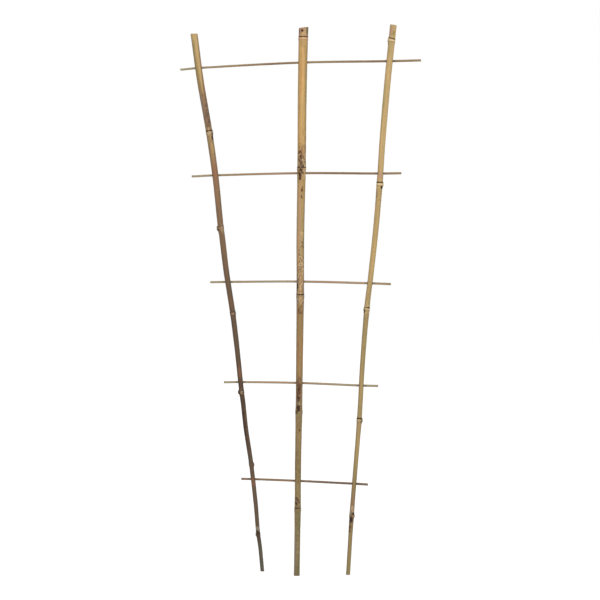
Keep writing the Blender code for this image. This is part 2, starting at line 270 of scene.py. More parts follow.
LEFT_CANE = Cane(
    node="cane_left",
    slot="aged_brown_bamboo",
    foot_width=8.3 * MM,
    top_width=15.6 * MM,
    taper=0.95,
    foot_bore=2.0 * MM,
    top_bore=8.0 * MM,
    top_slope=0.0,
    rings=(
        Ring(0.0945, LEFT, 0.9, 0.0, 0.4, 0.0),
        Ring(0.2470, RIGHT, 1.0, 0.0, 0.25, 0.0),
        Ring(0.4062, LEFT, 1.5, -0.1, 0.4, 0.1),
        Ring(0.5780, RIGHT, 0.4, 0.1, 0.2, 0.12),
        Ring(0.7645, LEFT, 1.2, 0.1, 0.3, 0.3),
        Ring(0.9732, RIGHT, 0.5, 0.12, 1.0, 0.3),
    ),
    bows=(0.060, 0.155, 0.320, 0.375, 0.505, 0.665, 0.745, 0.870, 1.083),
    tones=(
        (0.02, MOSS), (0.065, MOSS), (0.085, PEAT), (0.12, BARK), (0.24, BARK), (0.32, PEAT),
        (0.41, PEAT), (0.49, BARK), (0.60, BARK), (0.72, MOCHA), (0.88, UMBER), (0.94, FAWN),
        (0.965, FAWN), (0.985, UMBER), (1.04, UMBER), (1.105, OCHRE), (1.19, STRAW),
    ),
    band_tone="#AE9C80",
    patches=(
        (360, 200, 220, 4.5, PEAT, 0.6, 0.3), (1070, 190, 100, 3.5, BARK, 0.7, 0.5),
        (1135, 203, 75, 7, OLIVE, 0.95, 0.2), (1130, 340, 75, 6, UMBER, 0.9, 0.2),
        (1135, 288, 70, 4, SAND, 0.9, 0.2), (1085, 282, 45, 3.2, SAND, 0.75, 0.3),
        (1070, 308, 30, 1.8, RUSSET, 0.6, 0.3), (1008, 285, 34, 7, BARK, 0.8, 0.9),
        (1015, 338, 65, 5.5, BARK, 0.75, 0.5), (330, 312, 60, 4, MOCHA, 0.6, 0.3),
        (935, 280, 16, 5, OCHRE, 0.7, 0.3), (885, FRONT, 30, 9, RUSSET, 0.55, 0.3),
        (600, FRONT, 26, 8, RUSSET, 0.2, 0.3), (445, FRONT, 18, 7, RUSSET, 0.5, 0.4),
        # The dove-grey patch high on the left edge is a painted reflection of the white room
        (205, FRONT, 16, 6, RUSSET, 0.5, 0.4), (1030, 215, 45, 6, DOVE, 0.7, 0.5),
        (930, 225, 16, 7, UMBER, 0.8, 0.5), (959, 330, 13, 5, CLOVE, 1.0, 0.3),
        (968, 280, 4, 6, ASH, 0.6, 0.8), (757.5, 205, 4, 4.5, SOOT, 1.0, 0.3),
        (754, 310, 7, 5, OLIVE, 0.9, 0.4), (573, FRONT, 2.5, 8, ROSE, 0.5, 0.6),
        (400, 195, 5, 3.5, SOOT, 0.8, 0.3), (403, 285, 3.5, 5, ASH, 0.8, 0.7),
        (330, 250, 60, 4, SOOT, 0.5, 0.8), (320, 266, 95, 9, SOOT, 0.3, 0.85),
        (255, 225, 24, 4, MOSS, 0.8, 0.4), (104, FRONT, 8, 7, ASH, 0.9, 0.9),
        (94, 258, 8, 5, SOOT, 1.0, 0.6), (45, 330, 35, 3, ASH, 0.4, 0.5),
        (1120, 80, 70, 8, DOVE, 0.6, 0.6), (820, 100, 90, 9, BARK, 0.6, 0.7),
        (520, 70, 60, 8, RUSSET, 0.4, 0.6), (190, 95, 40, 7, ASH, 0.6, 0.9),
    ),
    flecks=(
        (970, 260, 12, 6, CREAM, 0.45, 1.0), (760, 280, 12, 6, ROSE, 0.6, 1.0),
        (403, 270, 10, 6, ROSE, 0.5, 1.0), (104, 285, 10, 5, ASH, 0.5, 1.0),
    ),
    mildew=((0.60, 0.60, 0.04), (0.98, 0.07, 0.06), (0.30, 0.14, 0.05)),
    weathering=0.55,
    node_swell=0.0,
)

MIDDLE_CANE = Cane(
    node="cane_middle",
    slot="golden_bamboo",
    foot_width=12.8 * MM,
    top_width=20.8 * MM,
    taper=1.3,
    foot_bore=4.0 * MM,
    top_bore=11.5 * MM,
    top_slope=0.12,
    rings=(
        Ring(0.1480, FRONT, 0.8, 0.0, 0.8, 0.0, worn=340),
        Ring(0.3615, BACK, 0.7, 0.0, 0.5, 0.0, worn=320),
        Ring(0.6150, FRONT, 0.4, 0.0, 1.0, 0.2, worn=200),
        Ring(0.8930, BACK, 0.5, 0.0, 0.9, 0.0, worn=FRONT),
        Ring(1.1787, BACK, 0.0, 0.0, 0.95, 0.6),
    ),
    bows=(0.250, 0.500, 0.740, 1.040),
    tones=(
        (0.01, DAMP), (0.06, OLIVE), (0.16, OLIVE), (0.27, KHAKI), (0.36, KHAKI), (0.47, TAN),
        (0.66, TAN), (0.70, OCHRE), (0.86, OCHRE), (1.00, HONEY), (1.168, HONEY),
        (1.180, ROSE),
    ),
    band_tone="#D2A880",
    patches=(
        # The dove-grey patch at the foot's left edge is a painted reflection of the white room
        (50, 205, 70, 7.5, DOVE, 0.8, 0.2), (1050, 185, 140, 4, UMBER, 0.7, 0.3),
        (1090, 252, 70, 3, AMBER, 0.35, 0.2), (770, 240, 130, 7, ROSE, 0.75, 0.2),
        # The long dove-grey strip down the left edge is a painted reflection of the white room
        (740, 302, 120, 6.5, HAY, 0.7, 0.2), (600, 190, 560, 4, DOVE, 0.6, 0.4),
        # The dove-grey patch on the right side by the third ring is a painted reflection
        (925, 320, 40, 7, UMBER, 0.5, 0.5), (610, 320, 60, 5, DOVE, 0.5, 0.5),
        # The khaki patch up the top right side is painted shade, on the side turned from the light
        (1080, 332, 160, 7, KHAKI, 0.75, 0.2), (800, 345, 130, 4, OLIVE, 0.6, 0.3),
        (1121, 335, 9, 6, AMBER, 0.7, 0.1), (1192, 198, 12, 7, BARK, 0.9, 0.3),
        (1192, 325, 12, 7.5, DAMP, 0.95, 0.2), (1190, 292, 9, 1.8, CREAM, 0.5, 0.1),
        (1185, 268, 6, 5, HONEY, 0.6, 0.3), (1164, 262, 11, 8, OCHRE, 0.9, 0.2),
        (1192, 252, 4.4, 3.8, CLOVE, 1.0, 0.05), (955, 340, 40, 4, BARK, 0.7, 0.9),
        (905, FRONT, 42, 14, UMBER, 0.8, 0.35), (910, 262, 30, 7, MOCHA, 0.7, 0.5),
        (925, 270, 22, 3.2, RUSSET, 0.8, 0.3), (915, 240, 30, 8, CLOVE, 0.8, 1.0),
        (910, 310, 24, 7, RUST, 0.7, 1.0), (895, 275, 10, 8, CLOVE, 0.9, 0.85),
        (879, 245, 16, 7, CLOVE, 1.0, 0.6), (874, 243, 12, 5, CLOVE, 0.8, 0.4),
        (885, 280, 17, 8, CLOVE, 0.95, 0.8), (843, 283, 10, 3, RUST, 1.0, 0.5),
        (828, 276, 6, 3, RUST, 0.8, 0.7), (710, 310, 60, 6, BARK, 0.8, 1.0),
        # The dove-grey patches beside the third ring, on this line and the next, are painted
        # reflection
        (640, 215, 30, 7, DOVE, 0.6, 0.6), (675, 282, 45, 8, MOCHA, 0.75, 1.0),
        (633, 218, 15, 6, CLOVE, 1.0, 0.5), (600, 215, 16, 6, DOVE, 0.8, 0.6),
        (585, FRONT, 20, 8, RUST, 0.6, 1.0), (390, 262, 40, 11, DOVE, 0.8, 0.9),
        (405, 264, 38, 8.5, WINE, 1.0, 0.4), (398, 260, 28, 5.5, RUST, 0.9, 0.5),
        (394, 268, 24, 7, CLOVE, 0.9, 0.9), (366, 262, 10, 8, CLOVE, 1.0, 0.4),
        (319, 290, 5, 3, RUST, 0.9, 0.4), (245, 278, 60, 9, RUST, 0.3, 1.0),
        (60, 275, 60, 8, MOSS, 0.3, 1.0), (357.5, 235, 5, 3.6, CLOVE, 0.9, 0.3),
        (330, FRONT, 26, 6, RUST, 0.2, 1.0), (170, 250, 6, 4.5, CLOVE, 0.95, 0.4),
        (160, FRONT, 26, 9, MOCHA, 0.75, 0.5), (160, 268, 16, 8.5, CLOVE, 1.0, 0.7),
        (110, 290, 50, 7, DAMP, 0.7, 0.6), (1145, 75, 26, 9, UMBER, 0.6, 0.8),
        (1020, 110, 60, 7, KHAKI, 0.7, 0.5), (878, 85, 24, 10, RUST, 0.8, 1.0),
        (760, 70, 50, 8, DOVE, 0.7, 0.7), (530, 105, 45, 9, RUSSET, 0.5, 0.8),
        (350, 80, 22, 9, CLOVE, 0.8, 0.9), (230, 100, 60, 8, DAMP, 0.7, 0.5),
    ),
    flecks=(
        (910, 305, 20, 6, CREAM, 0.5, 1.0), (895, 225, 12, 4, CREAM, 0.5, 1.0),
        (882, 314, 20, 6.5, CREAM, 0.75, 0.95), (745, 290, 16, 5, CREAM, 0.5, 1.0),
        (670, 285, 45, 9, CREAM, 0.5, 1.0), (628, 262, 16, 5, CREAM, 0.5, 1.0),
        (605, 275, 14, 8, CREAM, 0.5, 0.95), (398, 305, 18, 6, ROSE, 0.4, 1.0),
        (160, 292, 14, 5, HAY, 0.5, 1.0),
    ),
    mildew=(
        (0.70, 0.13, 0.10), (0.90, 0.05, 0.10), (0.48, 0.12, 0.06), (0.33, 0.14, 0.075),
        (0.14, 0.06, 0.08),
    ),
    weathering=0.2,
    node_swell=0.5 * MM,
)

RIGHT_CANE = Cane(
    node="cane_right",
    slot="straw_bamboo",
    foot_width=9.0 * MM,
    top_width=14.8 * MM,
    taper=1.15,
    foot_bore=2.4 * MM,
    top_bore=7.2 * MM,
    top_slope=-0.16,
    rings=(
        Ring(0.1352, RIGHT, 0.8, 0.0, 1.1, 0.1, worn=225),
        Ring(0.3442, RIGHT, 1.2, 0.0, 1.3, 0.35),
        Ring(0.5868, LEFT, 0.5, 0.0, 1.1, 0.3, worn=215),
        Ring(0.8604, RIGHT, 0.8, 0.0, 1.25, 0.8),
        Ring(1.1750, LEFT, 0.8, -0.16, 0.9, 0.7),
    ),
    bows=(0.240, 0.465, 0.655, 0.765, 0.950, 1.080),
    tones=(
        (0.01, OLIVE), (0.09, KHAKI), (0.15, UMBER), (0.20, KHAKI), (0.24, HAY), (0.49, HAY),
        (0.70, SAND), (0.84, SAND), (0.93, STRAW), (1.20, STRAW),
    ),
    band_tone="#DCC092",
    patches=(
        # The dove-grey strips down the left edge, on this line and the next, are painted reflection
        (70, 190, 90, 3, DOVE, 0.7, 0.3), (1000, 185, 180, 3, UMBER, 0.7, 0.3),
        (550, 190, 200, 3.5, DOVE, 0.5, 0.4), (1190, 240, 15, 9, ROSE, 1.0, 0.2),
        (1187, 288, 7.5, 3.6, LICHEN, 1.0, 0.3), (1169, 335, 5, 2.5, SOOT, 0.9, 0.2),
        (876, FRONT, 12, 10, ROSE, 0.9, 0.3), (850, 320, 7.5, 4, SOOT, 1.0, 0.3),
        (835, 220, 14, 4, UMBER, 0.6, 0.7), (578, 214, 6, 4, SOOT, 1.0, 0.3),
        (560, 290, 20, 6, UMBER, 0.3, 0.9), (338, 322, 7, 3.8, SOOT, 1.0, 0.2),
        (325, FRONT, 24, 8, FAWN, 0.7, 0.2), (140, 245, 12, 6, ASH, 0.8, 0.7),
        (137, 300, 5.5, 4.5, SOOT, 1.0, 0.3), (123, 258, 12, 6.5, SOOT, 1.0, 0.4),
        (105, 235, 16, 3.5, RUST, 0.9, 0.7), (1080, 95, 70, 8, KHAKI, 0.6, 0.5),
        (845, 80, 20, 8, UMBER, 0.8, 0.8), (680, 100, 50, 7, DOVE, 0.6, 0.6),
        (440, 75, 60, 8, OLIVE, 0.7, 0.6), (220, 100, 30, 7, BARK, 0.6, 0.9),
    ),
    flecks=(
        (585, 270, 16, 7, CREAM, 0.4, 1.0), (148, 275, 12, 5, CREAM, 0.45, 1.0),
    ),
    mildew=((0.58, 0.14, 0.07), (0.13, 0.07, 0.12), (0.84, 0.04, 0.10)),
    weathering=0.12,
    node_swell=0.45 * MM,
)

CANES = (LEFT_CANE, MIDDLE_CANE, RIGHT_CANE)

# Each rung's tones, from its left end to its right end
RUNG_TONES = {
    "rung_1": (STICK_GREY, STICK_TAN, STICK_BROWN, STICK_TAN, STICK_BROWN, STICK_TAN),
    "rung_2": (STICK_GREY, STICK_TAN, STICK_ROSE, STICK_BROWN, STICK_BROWN, STICK_TAN),
    "rung_3": (STICK_GREY, STICK_SAND, STICK_GREY, STICK_ROSE, STICK_SAND, STICK_TAN),
    "rung_4": (STICK_GREY, STICK_SAND, STICK_ROSE, STICK_SAND, STICK_GREY, STICK_GREY),
    "rung_5": (STICK_DARK, STICK_BROWN, STICK_BROWN, STICK_DARK, STICK_DARK, STICK_DARK),
}
RUNG_NODES = tuple(RUNG_TONES)


def linear(hex_colour):
    """An sRGB hex colour as the linear red, green, blue and alpha that Blender takes."""
    levels = [int(hex_colour[i : i + 2], 16) / 255 for i in (1, 3, 5)]
    return (*[v / 12.92 if v <= 0.04045 else ((v + 0.055) / 1.055) ** 2.4 for v in levels], 1)


def result(node):
    """The output that a node's settings leave in use."""
    return next(output for output in node.outputs if output.enabled)


def add(tree, kind, inputs=None, stops=None, **settings):
    """Adds a node with its settings; each input gets a value, or a link from another node."""
    made = tree.nodes.new(f"ShaderNode{kind}")
    for name, value in settings.items():
        setattr(made, name, value)
    for name, value in (inputs or {}).items():
        named = [socket for socket in made.inputs if socket.enabled and socket.name == name]
        socket = named[0] if named else made.inputs[name]
        if isinstance(value, bpy.types.Node):
            value = result(value)
        if isinstance(value, bpy.types.NodeSocket):
            tree.links.new(value, socket)
        else:
            socket.default_value = value
    for index, (place, colour) in enumerate(stops or ()):
        elements = made.color_ramp.elements
        element = elements[index] if index < 2 else elements.new(place)
        element.position = place
        element.color = linear(colour)
    return made


def through(stations, place):
    """The value at a place on a smooth curve through stations of (place, value)."""
    last = len(stations) - 1
    end = next((i for i in range(1, last) if place < stations[i][0]), last)
    (place_a, a), (place_b, b) = stations[end - 1], stations[end]
    before, after = stations[max(end - 2, 0)], stations[min(end + 1, last)]
    run = place_b - place_a
    slope_a = (b - before[1]) * (run / (place_b - before[0]))
    slope_b = (after[1] - a) * (run / (after[0] - place_a))
    t = (place - place_a) / run
    ease = t * t * (3 - 2 * t)
    return a + (b - a) * ease + slope_a * (t * (1 - t) ** 2) - slope_b * (t * t * (1 - t))


def solid_at(node, axis, place):
    """The middle of a solid where the plane across an axis (0 X, 2 Z) cuts it."""
    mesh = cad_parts[node].data
    points = np.array([vertex.co for vertex in mesh.vertices])
    edges = points[np.array([edge.vertices[:] for edge in mesh.edges])]
    gaps = edges[:, :, axis] - place
    cut = gaps[:, 0] * gaps[:, 1] < 0
    starts, ends, gaps = edges[cut, 0], edges[cut, 1], gaps[cut]
    outline = starts + (ends - starts) * (gaps[:, :1] / (gaps[:, :1] - gaps[:, 1:]))
    return Vector((outline.min(0) + outline.max(0)) / 2)


def cane_axis(cane):
    """The cane's axis from below its foot to above its top, as closely spaced points."""
    low, high = (corner.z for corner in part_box(cane.node))
    high -= abs(cane.top_slope) * cane.top_width / 2
    near_foot, near_top = low + FOOT_INSET, high - TOP_INSET
    heights = sorted([near_foot, near_top, *cane.bows, *(ring.height for ring in cane.rings)])
    heights = [height for height in heights if near_foot <= height <= near_top]
    stations = [(height, solid_at(cane.node, 2, height)) for height in heights]
    for index, beyond in ((0, low - SPARE_LENGTH), (-1, high + SPARE_LENGTH)):
        (place, point), (inner_place, inner) = stations[index], stations[1 if index == 0 else -2]
        outer = point.lerp(inner, (beyond - place) / (inner_place - place))
        stations.insert(0 if index == 0 else len(stations), (beyond, outer))
    count = round((stations[-1][0] - stations[0][0]) / AXIS_SAMPLE)
    places = np.linspace(stations[0][0], stations[-1][0], count)
    return low, high, np.array([through(stations, place) for place in places])


def axis_at(axis, height):
    """Where the axis is at a height."""
    x, y = (np.interp(height, axis[:, 2], axis[:, i]) for i in (0, 1))
    return Vector((x, y, height))


def rung_route(node):
    """A rung's axis from end to end, as closely spaced points, and where it meets each cane."""
    low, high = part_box(node)
    meets = []
    for cane in CANES:
        axis = AXES[cane.node][2]
        x = axis_at(axis, (low.z + high.z) / 2).x
        # Settles in three rounds
        for _ in range(3):
            x = axis_at(axis, solid_at(node, 0, x).z).x
        meets.append(solid_at(node, 0, x))
    near_ends = [solid_at(node, 0, x) for x in (low.x + RUNG_INSET, high.x - RUNG_INSET)]
    stations = [(point.x, point) for point in (near_ends[0], *meets, near_ends[1])]
    count = round((high.x - low.x) / RUNG_STEP)
    places = np.linspace(low.x + END_TRIM, high.x - END_TRIM, count + 1)
    return [through(stations, place) for place in places], meets


AXES = {cane.node: cane_axis(cane) for cane in CANES}
ROUTES = {node: rung_route(node) for node in RUNG_NODES}


def cane_width(cane, height):
    """The cane's thickness at a height, its rings left out."""
    low, high, _ = AXES[cane.node]
    share = max((height - low) / (high - low), 0)
    return cane.foot_width + share**cane.taper * (cane.top_width - cane.foot_width)


def crossings(cane):
    """Where the rungs cross a cane."""
    index = CANES.index(cane)
    return [ROUTES[node][1][index] for node in RUNG_NODES]


def cane_sections(cane):
    """(height, width, tilt) of each section, close together at the rings and the drilled holes."""
    low, high, _ = AXES[cane.node]
    rises = {}
    for ring in cane.rings:
        rises.update({ring.height + gap * MM: rise * MM for gap, rise in RING_PROFILE})
    below, above = RING_FOOT - RING_CLEARANCE, RING_HEAD + RING_CLEARANCE
    places = set(rises)
    holes = [point.z for point in crossings(cane)]
    for height in np.arange(low - SPARE_LENGTH, high + SPARE_LENGTH, INTERNODE_STEP):
        if not any(abs(height - hole) < HOLE_ZONE for hole in holes):
            places.add(float(height))
    for hole in holes:
        places.update(float(hole + gap) for gap in np.arange(-HOLE_ZONE, HOLE_ZONE, HOLE_STEP))
    sections = []
    for place in sorted(places):
        gaps = [place - ring.height for ring in cane.rings]
        if place not in rises and any(below < gap < above for gap in gaps):
            continue
        tilt = sum(ring.tilt * bell(gap, TILT_REACH) for ring, gap in zip(cane.rings, gaps))
        swollen = sum(bell(gap + SWELL_BELOW_SCAR, SWELL_REACH) for gap in gaps[:SWOLLEN_RINGS])
        rise = rises.get(place, 0) + cane.node_swell * swollen
        sections.append((place, cane_width(cane, place) + 2 * rise, float(tilt)))
    return sections


def bell(distance, reach):
    """1 at no distance, 0.37 at the reach, and next to nothing at twice the reach."""
    return np.exp(-((distance / reach) ** 2))


def start_piece(name, sides, points, widths, tilts, rotation):
    """A round bar: a short cylinder, extruded from point to point, sized and tilted at each."""
    middle = (points[0] + points[1]) / 2
    bpy.ops.object.select_all(action="DESELECT")
    bpy.ops.mesh.primitive_cylinder_add(
        vertices=sides,
        radius=widths[0] / 2,
        depth=(points[1] - points[0]).length,
        location=middle,
        rotation=rotation,
    )
    piece = bpy.context.object
    piece.name = name
    piece.data.name = name
    bpy.ops.object.transform_apply(location=True, rotation=True, scale=True)
    bpy.ops.object.mode_set(mode="EDIT")
    bpy.ops.mesh.select_mode(type="FACE")
    heading = points[1] - points[0]

    def at_far_end(face):
        return len(face.verts) == sides and (face.calc_center_median() - middle).dot(heading) > 0

    pick(piece, at_far_end)
    for i in range(2, len(points)):
        step = points[i] - points[i - 1]
        bpy.ops.mesh.extrude_region_move(TRANSFORM_OT_translate={"value": step})
        size = widths[i] / widths[i - 1]
        bpy.ops.transform.resize(value=(size, size, size), center_override=points[i])
        turn = tilts[i] - tilts[i - 1]
        if abs(turn) > LEAST_TURN:
            bpy.ops.transform.rotate(value=turn, orient_axis="Y", center_override=points[i])
    bpy.ops.object.mode_set(mode="OBJECT")
    return piece


def pick(piece, wanted):
    """Selects only the wanted faces, in edit mode."""
    bpy.ops.mesh.select_all(action="DESELECT")
    form = bmesh.from_edit_mesh(piece.data)
    for face in form.faces:
        if wanted(face):
            face.select_set(True)
    bmesh.update_edit_mesh(piece.data)


def swell(piece, name, weights, rise, texture=None, direction="NORMAL", mid=0.0):
    """Raises a piece where its weights are, by up to the rise, and keeps the result."""
    group = piece.vertex_groups.new(name=name)
    for index in np.flatnonzero(weights > LEAST_WEIGHT):
        group.add([int(index)], float(weights[index]), "REPLACE")
    modifier = piece.modifiers.new(name, "DISPLACE")
    modifier.vertex_group = name
    modifier.strength = rise
    modifier.mid_level = mid
    modifier.direction = direction
    modifier.texture = texture
    bpy.context.view_layer.objects.active = piece
    bpy.ops.object.modifier_apply(modifier=name)
    piece.vertex_groups.clear()


def clouds(name, size):
    """A soft noise for lumps of about this size."""
    texture = bpy.data.textures.new(name, "CLOUDS")
    texture.noise_scale = size
    texture.noise_depth = 2
    return texture


def corners(piece):
    """A piece's points, as rows of X, Y and Z."""
    flat = np.empty(len(piece.data.vertices) * 3, np.float32)
    piece.data.vertices.foreach_get("co", flat)
    return flat.reshape(-1, 3).astype(float)


def on_cane(cane, points):
    """For points on a cane: the axis height of their section, and their offset from the axis."""
    _, _, axis = AXES[cane.node]
    lean = (axis[-1, 0] - axis[0, 0]) / (axis[-1, 2] - axis[0, 2])
    heights = points[:, 2].copy()
    # Settles in four rounds
    for _ in range(4):
        heights = points[:, 2] + (points[:, 0] - np.interp(heights, axis[:, 2], axis[:, 0])) * lean
    across = points[:, 0] - np.interp(heights, axis[:, 2], axis[:, 0])
    across *= math.sqrt(1 + lean * lean)
    deep = points[:, 1] - np.interp(heights, axis[:, 2], axis[:, 1])
    return heights, across, deep


def around(across, deep, side):
    """How far round the cane each point is from a side, along the skin."""
    angle = np.arctan2(deep, across) - math.radians(side)
    angle = (angle + math.pi) % (2 * math.pi) - math.pi
    return np.abs(angle) * np.hypot(across, deep)


def shape_skin(piece, cane):
    """Lumps all over, a scar that wanders, and the trimmed buds."""
    heights, across, deep = on_cane(cane, corners(piece))
    note(piece, "above_scar", ring_gap(cane, heights, across)[0])
    everywhere = np.ones(len(heights))
    swell(piece, "lumps", everywhere, LUMP_RISE, clouds("lumps", LUMP_SIZE), mid=LUMP_MIDDLE)
    near = sum(bell(heights - ring.height, SCAR_WANDER_REACH) for ring in cane.rings)
    wander = clouds("scar wander", SCAR_WANDER_SIZE)
    swell(piece, "scars", np.clip(near, 0, 1), SCAR_WANDER, wander, direction="Z", mid=0.5)
    for ring in cane.rings:
        if not ring.fullness:
            continue
        height = ring.height - RIDGE_BELOW_SCAR
        width = cane_width(cane, height)
        far = np.hypot(
            (heights - height) / (BUD_LENGTH * width),
            around(across, deep, ring.bud) / (BUD_WIDTH * width),
        )
        weights = np.clip(BUD_BLUNTNESS * bell(far, 1.0), 0, 1) * (far < BUD_END)
        swell(piece, "bud", weights, ring.fullness * BUD_RISE * width)


def saw(piece, point, outward, bore, bottom):
    """Saws a cane's end off square to a direction, takes the rim's edge off and opens the hollow,
    which runs along the cane to its bottom."""
    bpy.context.view_layer.objects.active = piece
    bpy.ops.object.mode_set(mode="EDIT")
    bpy.ops.mesh.select_all(action="SELECT")
    cut = point - outward * CUT_CHAMFER
    bpy.ops.mesh.bisect(plane_co=cut, plane_no=outward, use_fill=True, clear_outer=True)

    def in_cut(face):
        gap = (face.calc_center_median() - cut).dot(outward)
        return len(face.verts) > CANE_SIDES / 2 and abs(gap) < CUT_TOLERANCE

    pick(piece, in_cut)
    face = next(face for face in bmesh.from_edit_mesh(piece.data).faces if face.select)
    radius = math.sqrt(face.calc_area() / math.pi)
    piece.active_material_index = END_GRAIN
    bpy.ops.object.material_slot_assign()
    bpy.ops.mesh.inset(thickness=CUT_CHAMFER)
    bpy.ops.transform.translate(value=outward * CUT_CHAMFER)
    bpy.ops.mesh.inset(thickness=radius - CUT_CHAMFER - bore / 2)
    piece.active_material_index = HOLLOW
    bpy.ops.object.material_slot_assign()
    last_step = (bottom - point).normalized() * BORE_END
    bpy.ops.mesh.extrude_region_move(TRANSFORM_OT_translate={"value": bottom - point - last_step})
    bpy.ops.mesh.extrude_region_move(TRANSFORM_OT_translate={"value": last_step})
    bpy.ops.transform.resize(value=(BORE_END_WIDTH,) * 3, center_override=bottom)
    bpy.ops.object.mode_set(mode="OBJECT")


def drill(piece, cane, material):
    """Drills the cane for its five rungs."""
    bits = []
    for node, point in zip(RUNG_NODES, crossings(cane)):
        route = ROUTES[node][0]
        nearest = min(range(1, len(route) - 1), key=lambda i: (route[i] - point).length)
        along = (route[nearest + 1] - route[nearest - 1]).normalized()
        bpy.ops.object.select_all(action="DESELECT")
        bpy.ops.mesh.primitive_cylinder_add(
            vertices=HOLE_SIDES,
            radius=rung_width(node, point.x) / 2 + HOLE_CLEARANCE,
            depth=DRILL_LENGTH * cane_width(cane, point.z),
            location=point,
            rotation=along.to_track_quat("Z", "Y").to_euler(),
        )
        bits.append(bpy.context.object)
    for bit in bits:
        bit.select_set(True)
    bpy.context.view_layer.objects.active = bits[0]
    bpy.ops.object.join()
    bit = bpy.context.object
    bpy.ops.object.transform_apply(location=True, rotation=True, scale=True)
    bit.data.materials.append(material)
    modifier = piece.modifiers.new("rung holes", "BOOLEAN")
    modifier.object = bit
    modifier.operation = "DIFFERENCE"
    modifier.solver = "EXACT"
    modifier.material_mode = "TRANSFER"
    bpy.context.view_layer.objects.active = piece
    bpy.ops.object.modifier_apply(modifier=modifier.name)
    bpy.data.objects.remove(bit)


def rung_width(node, x):
    """A rung's thickness at a place along it."""
    low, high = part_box(node)
    return RUNG_WIDTH + RUNG_TAPER * ((x - low.x) / (high.x - low.x) - 0.5)


def ring_gap(cane, heights, across):
    """How far above the nearest ring's scar each point is, and the ring's number."""
    gaps = np.stack([heights - ring.height - ring.tilt * across for ring in cane.rings], 1)
    nearest = np.abs(gaps).argmin(1)
    return gaps[np.arange(len(gaps)), nearest], nearest


def note(piece, name, values):
    """Stores a number or a vector for each point of a piece, for its materials to read."""
    values = np.asarray(values, np.float32)
    kind, field = ("FLOAT", "value") if values.ndim == 1 else ("FLOAT_VECTOR", "vector")
    piece.data.attributes.new(name, kind, "POINT").data.foreach_set(field, values.ravel())


def note_cane(piece, cane):
    """Grain, rings, cut ends and holes, as the materials read them."""
    points = corners(piece)
    heights, across, deep = on_cane(cane, points)
    note(piece, "grain", np.stack([across, deep, heights], 1))
    gap, nearest = ring_gap(cane, heights, across)
    shaped = np.empty(len(gap), np.float32)
    piece.data.attributes["above_scar"].data.foreach_get("value", shaped)
    gap = np.where(np.abs(gap) < -RING_FOOT, shaped, gap)
    piece.data.attributes.remove(piece.data.attributes["above_scar"])
    fade = (OUT_OF_REACH - np.abs(gap)) / (OUT_OF_REACH - RING_TONES_FADE)
    fade = np.clip(fade, 0, 1)
    for number, ring in enumerate(cane.rings):
        if ring.worn is not None:
            fade *= 1 - (nearest == number) * bell(around(across, deep, ring.worn), WORN_REACH)
    scar = np.array([ring.scar for ring in cane.rings])[nearest] * fade
    band = np.array([ring.band for ring in cane.rings])[nearest] * fade
    gap = np.clip(gap, -OUT_OF_REACH, OUT_OF_REACH)
    note(piece, "ring", np.stack([gap, scar, band], 1))
    low, high, _ = AXES[cane.node]
    top = high - heights < heights - low
    inner = np.where(top, cane.top_bore, cane.foot_bore) / 2
    outer = np.array([cane_width(cane, height) for height in heights]) / 2
    rim = np.clip((np.hypot(across, deep) - inner) / (outer - inner), 0, 1)
    note(piece, "rim", rim)
    note(piece, "depth", np.minimum(high - heights, heights - low))
    hole = np.full(len(heights), OUT_OF_REACH)
    for point in crossings(cane):
        hole = np.minimum(hole, np.hypot(points[:, 1] - point.y, points[:, 2] - point.z))
    note(piece, "hole", hole)


def make_cane(cane, skin, end_grain, hollow, drilled):
    """One cane: its skin with rings and buds, both sawn ends, and the drilled holes."""
    low, high, axis = AXES[cane.node]
    heights, widths, tilts = zip(*cane_sections(cane))
    points = [axis_at(axis, height) for height in heights]
    lean = math.atan2(axis[-1, 0] - axis[0, 0], axis[-1, 2] - axis[0, 2])
    piece = start_piece(f"{cane.node}_culm", CANE_SIDES, points, widths, tilts, (0, lean, 0))
    for material in (skin, end_grain, hollow):
        piece.data.materials.append(material)
    shape_skin(piece, cane)
    top = Vector((-cane.top_slope, 0, 1)).normalized()
    ends = (
        (low, Vector((0, 0, -1)), cane.foot_bore, cane.rings[0].height - RIDGE_BELOW_SCAR - low),
        (high, top, cane.top_bore, high - cane.rings[-1].height),
    )
    for height, outward, bore, reach in ends:
        depth = min(reach - RING_WALL, DEEPEST_BORE)
        bottom = axis_at(axis, height - math.copysign(depth, outward.z))
        saw(piece, axis_at(axis, height), outward, bore, bottom)
    drill(piece, cane, drilled)
    bpy.ops.object.select_all(action="DESELECT")
    piece.select_set(True)
    bpy.ops.object.shade_smooth_by_angle(angle=SHARP_ANGLE)
    note_cane(piece, cane)
    lay_out(piece)
    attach(piece, "root")
    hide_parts(cane.node)


